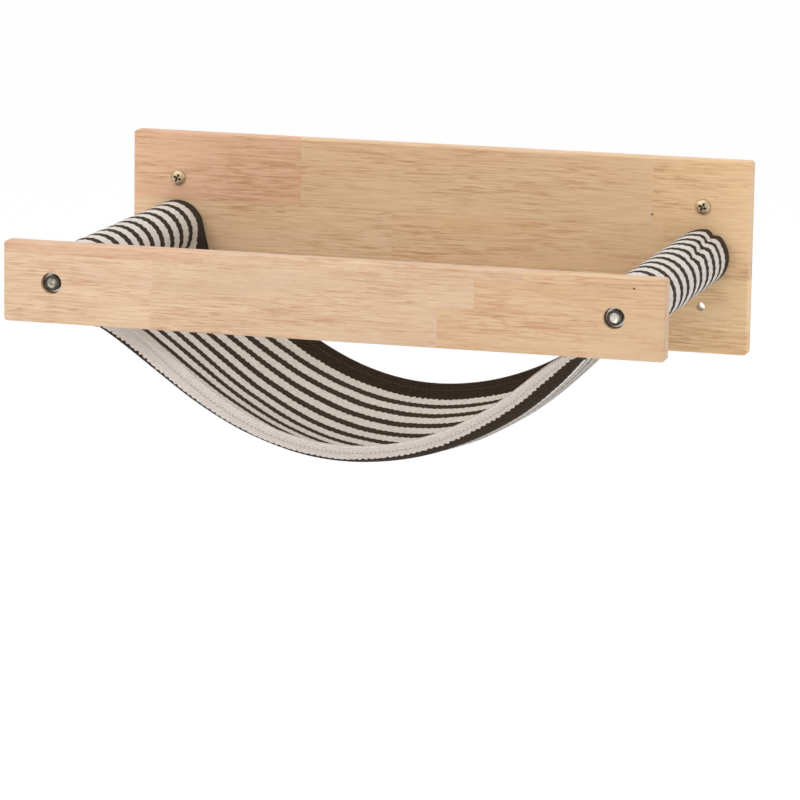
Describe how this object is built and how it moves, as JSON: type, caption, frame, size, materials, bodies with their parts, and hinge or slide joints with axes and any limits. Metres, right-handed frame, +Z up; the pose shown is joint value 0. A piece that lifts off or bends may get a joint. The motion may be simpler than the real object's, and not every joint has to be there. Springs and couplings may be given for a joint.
{
  "type": "wall mounted cat hammock",
  "caption": "Wooden board on the wall with round rods, a front rail and a striped canvas slung between them as a bed for a cat.",
  "frame": {"origin": "centre of the back board's rear face, which lies on the wall", "axes": "+X along the board to the right as seen from the room, +Y into the wall, +Z up"},
  "size_m": [0.55, 0.375, 0.2361],
  "materials": {
    "board_wood": "pale rubberwood staves, satin lacquer",
    "rail_wood": "pale rubberwood, satin lacquer",
    "rod_wood": "turned rubberwood, satin lacquer",
    "striped_canvas": "coarse woven cotton canvas, off-white with brown-black stripes",
    "nickel": "dark polished nickel",
    "zinc": "bright zinc plate",
    "yellow_zinc": "pale yellow zinc plate"
  },
  "bodies": {
    "root": {"back_board": "board_wood", "front_rail": "rail_wood", "dowel_left": "rod_wood", "dowel_right": "rod_wood", "hammock_canvas": "striped_canvas", "wall_screw_left": "yellow_zinc", "wall_screw_right": "yellow_zinc", "bolt_left_front": "nickel", "washer_left_front": "zinc", "insert_left_front": "zinc", "bolt_left_rear": "nickel", "washer_left_rear": "zinc", "insert_left_rear": "zinc", "bolt_right_front": "nickel", "washer_right_front": "zinc", "insert_right_front": "zinc", "bolt_right_rear": "nickel", "washer_right_rear": "zinc", "insert_right_rear": "zinc"}
  },
  "joints": []
}
